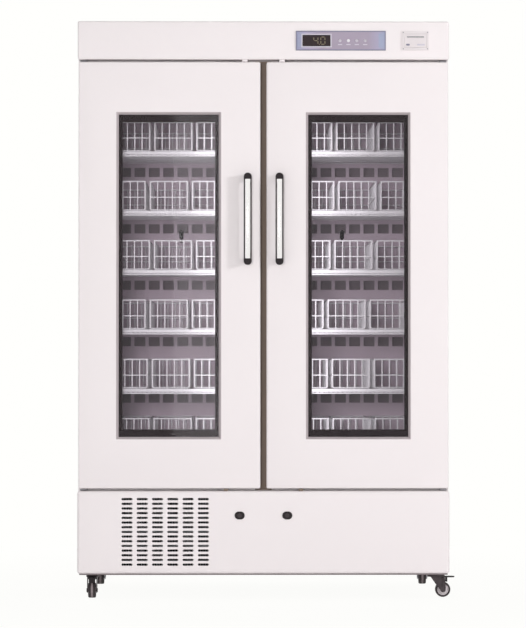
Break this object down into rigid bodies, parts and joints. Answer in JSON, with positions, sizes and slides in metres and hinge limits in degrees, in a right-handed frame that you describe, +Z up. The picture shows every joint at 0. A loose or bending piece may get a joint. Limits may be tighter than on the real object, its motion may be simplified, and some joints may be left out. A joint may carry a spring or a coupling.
{
  "type": "blood bank refrigerator",
  "caption": "Upright glass-door laboratory refrigerator on swivel casters, with hinged doors, wire shelves and baskets, header controls with a chart printer, and key locks below.",
  "frame": {"origin": "on the floor, under the middle of the cabinet's width and of its overall depth", "axes": "+X to the right of a viewer facing the doors, +Y to the back, +Z up"},
  "size_m": [1.243, 0.83, 1.896],
  "materials": {
    "white_paint": "satin powder coat",
    "liner_steel": "brushed",
    "foam": "rigid foam",
    "door_liner": "smooth moulded skin",
    "mullion_brown": "matte",
    "base_paint": "satin",
    "machine_black": "semi-gloss",
    "coil_fins": "mill finish",
    "fan_black": "matte",
    "wire_white": "plastic-coated wire",
    "support_steel": "brushed",
    "window_trim": "matte black with grey bevel",
    "clear_glass": "clear, toughened",
    "gasket_grey": "soft",
    "handle_chrome": "polished",
    "hardware_steel": "zinc plated",
    "lock_black": "satin",
    "fascia_lilac": "satin film",
    "display_dark": "gloss",
    "key_white": "satin",
    "printer_white": "fine texture",
    "caster_zinc": "zinc plated, worn",
    "caster_tyre": "moulded",
    "pedal_black": "moulded"
  },
  "bodies": {
    "cabinet": {"side_panels": "white_paint", "top_panel": "white_paint", "back_panel": "white_paint", "machine_rear_cover": "white_paint", "insulation": "foam", "inner_liner": "liner_steel", "front_frame": "white_paint", "center_mullion": "mullion_brown", "header_cover": "white_paint", "lower_front_cover": "white_paint", "base_frame": "base_paint", "compressor": "machine_black", "condenser": "coil_fins", "condenser_fan_shroud": "fan_black", "air_duct_panel": "liner_steel", "evaporator": "coil_fins", "probe_holders": "fan_black", "shelf_supports": "support_steel", "shelves": "wire_white", "left_baskets": "wire_white", "right_baskets": "wire_white", "hinge_brackets": "hardware_steel", "lock_bodies": "lock_black", "control_fascia": "fascia_lilac", "display_window": "display_dark", "printer_body": "printer_white", "caster_plates": "caster_zinc"},
    "left_door": {"left_door_shell": "white_paint", "left_door_core": "door_liner", "left_window_frame": "window_trim", "left_door_glass": "clear_glass", "left_door_gasket": "gasket_grey", "left_door_handle": "handle_chrome"},
    "right_door": {"right_door_shell": "white_paint", "right_door_core": "door_liner", "right_window_frame": "window_trim", "right_door_glass": "clear_glass", "right_door_gasket": "gasket_grey", "right_door_handle": "handle_chrome"},
    "condenser_fan": {"condenser_fan": "fan_black"},
    "evaporator_fan": {"evaporator_fan": "fan_black"},
    "set_key": {"set_key": "key_white"},
    "up_key": {"up_key": "key_white"},
    "down_key": {"down_key": "key_white"},
    "mute_key": {"mute_key": "key_white"},
    "printer_cover": {"printer_cover": "printer_white"},
    "left_lock_plug": {"left_lock_plug": "hardware_steel"},
    "right_lock_plug": {"right_lock_plug": "hardware_steel"},
    "left_lock_bolt": {"left_lock_bolt": "hardware_steel"},
    "right_lock_bolt": {"right_lock_bolt": "hardware_steel"},
    "front_left_fork": {"front_left_fork": "caster_zinc"},
    "front_right_fork": {"front_right_fork": "caster_zinc"},
    "rear_left_fork": {"rear_left_fork": "caster_zinc"},
    "rear_right_fork": {"rear_right_fork": "caster_zinc"},
    "front_left_wheel": {"front_left_wheel": "caster_tyre"},
    "front_right_wheel": {"front_right_wheel": "caster_tyre"},
    "rear_left_wheel": {"rear_left_wheel": "caster_tyre"},
    "rear_right_wheel": {"rear_right_wheel": "caster_tyre"},
    "front_left_brake": {"front_left_brake": "pedal_black"},
    "front_right_brake": {"front_right_brake": "pedal_black"}
  },
  "joints": [
    {"name": "left_door_hinge", "type": "hinge", "parent": "cabinet", "child": "left_door", "pos_m": [-0.593, -0.341, 1.062], "axis": [0, 0, -1], "range_deg": [0, 110], "stiffness_Nm_per_rad": 2, "springref_deg": -17.19},
    {"name": "right_door_hinge", "type": "hinge", "parent": "cabinet", "child": "right_door", "pos_m": [0.593, -0.341, 1.062], "axis": [0, 0, 1], "range_deg": [0, 110], "stiffness_Nm_per_rad": 2, "springref_deg": -17.19},
    {"name": "condenser_fan_spin", "type": "hinge", "parent": "cabinet", "child": "condenser_fan", "pos_m": [-0.322, -0.227, 0.217], "axis": [0, 1, 0], "continuous": true},
    {"name": "evaporator_fan_spin", "type": "hinge", "parent": "cabinet", "child": "evaporator_fan", "pos_m": [0, 0.2975, 1.5985], "axis": [0, 1, 0], "continuous": true},
    {"name": "printer_cover_hinge", "type": "hinge", "parent": "cabinet", "child": "printer_cover", "pos_m": [0.499, -0.372, 1.8125], "axis": [1, 0, 0], "range_deg": [0, 88]},
    {"name": "set_key_press", "type": "slide", "parent": "cabinet", "child": "set_key", "axis": [0, 1, 0], "range_m": [0, 0.001], "stiffness_N_per_m": 400},
    {"name": "up_key_press", "type": "slide", "parent": "cabinet", "child": "up_key", "axis": [0, 1, 0], "range_m": [0, 0.001], "stiffness_N_per_m": 400},
    {"name": "down_key_press", "type": "slide", "parent": "cabinet", "child": "down_key", "axis": [0, 1, 0], "range_m": [0, 0.001], "stiffness_N_per_m": 400},
    {"name": "mute_key_press", "type": "slide", "parent": "cabinet", "child": "mute_key", "axis": [0, 1, 0], "range_m": [0, 0.001], "stiffness_N_per_m": 400},
    {"name": "left_lock_turn", "type": "hinge", "parent": "cabinet", "child": "left_lock_plug", "pos_m": [-0.078, -0.369, 0.274], "axis": [0, -1, 0], "range_deg": [0, 90]},
    {"name": "left_bolt_lift", "type": "slide", "parent": "cabinet", "child": "left_lock_bolt", "axis": [0, 0, 1], "range_m": [0, 0.01796]},
    {"name": "right_lock_turn", "type": "hinge", "parent": "cabinet", "child": "right_lock_plug", "pos_m": [0.078, -0.369, 0.274], "axis": [0, -1, 0], "range_deg": [0, 90]},
    {"name": "right_bolt_lift", "type": "slide", "parent": "cabinet", "child": "right_lock_bolt", "axis": [0, 0, 1], "range_m": [0, 0.01796]},
    {"name": "front_left_swivel", "type": "hinge", "parent": "cabinet", "child": "front_left_fork", "pos_m": [-0.564, -0.266, 0.07], "axis": [0, 0, 1], "continuous": true},
    {"name": "front_left_roll", "type": "hinge", "parent": "front_left_fork", "child": "front_left_wheel", "pos_m": [-0.564, -0.296, 0.025], "axis": [1, 0, 0], "continuous": true},
    {"name": "front_left_brake_press", "type": "hinge", "parent": "front_left_fork", "child": "front_left_brake", "pos_m": [-0.564, -0.294, 0.065], "axis": [1, 0, 0], "range_deg": [0, 7]},
    {"name": "front_right_swivel", "type": "hinge", "parent": "cabinet", "child": "front_right_fork", "pos_m": [0.564, -0.266, 0.07], "axis": [0, 0, 1], "continuous": true},
    {"name": "front_right_roll", "type": "hinge", "parent": "front_right_fork", "child": "front_right_wheel", "pos_m": [0.594, -0.266, 0.025], "axis": [0, 1, 0], "continuous": true},
    {"name": "front_right_brake_press", "type": "hinge", "parent": "front_right_fork", "child": "front_right_brake", "pos_m": [0.592, -0.266, 0.065], "axis": [0, 1, 0], "range_deg": [0, 7]},
    {"name": "rear_left_swivel", "type": "hinge", "parent": "cabinet", "child": "rear_left_fork", "pos_m": [-0.564, 0.377, 0.07], "axis": [0, 0, 1], "continuous": true},
    {"name": "rear_left_roll", "type": "hinge", "parent": "rear_left_fork", "child": "rear_left_wheel", "pos_m": [-0.564, 0.347, 0.025], "axis": [1, 0, 0], "continuous": true},
    {"name": "rear_right_swivel", "type": "hinge", "parent": "cabinet", "child": "rear_right_fork", "pos_m": [0.564, 0.377, 0.07], "axis": [0, 0, 1], "continuous": true},
    {"name": "rear_right_roll", "type": "hinge", "parent": "rear_right_fork", "child": "rear_right_wheel", "pos_m": [0.564, 0.347, 0.025], "axis": [1, 0, 0], "continuous": true}
  ],
  "couplings": [
    {"joint": "left_lock_turn", "follows": "left_bolt_lift", "rad_per_m": 87.458},
    {"joint": "right_lock_turn", "follows": "right_bolt_lift", "rad_per_m": 87.458}
  ]
}
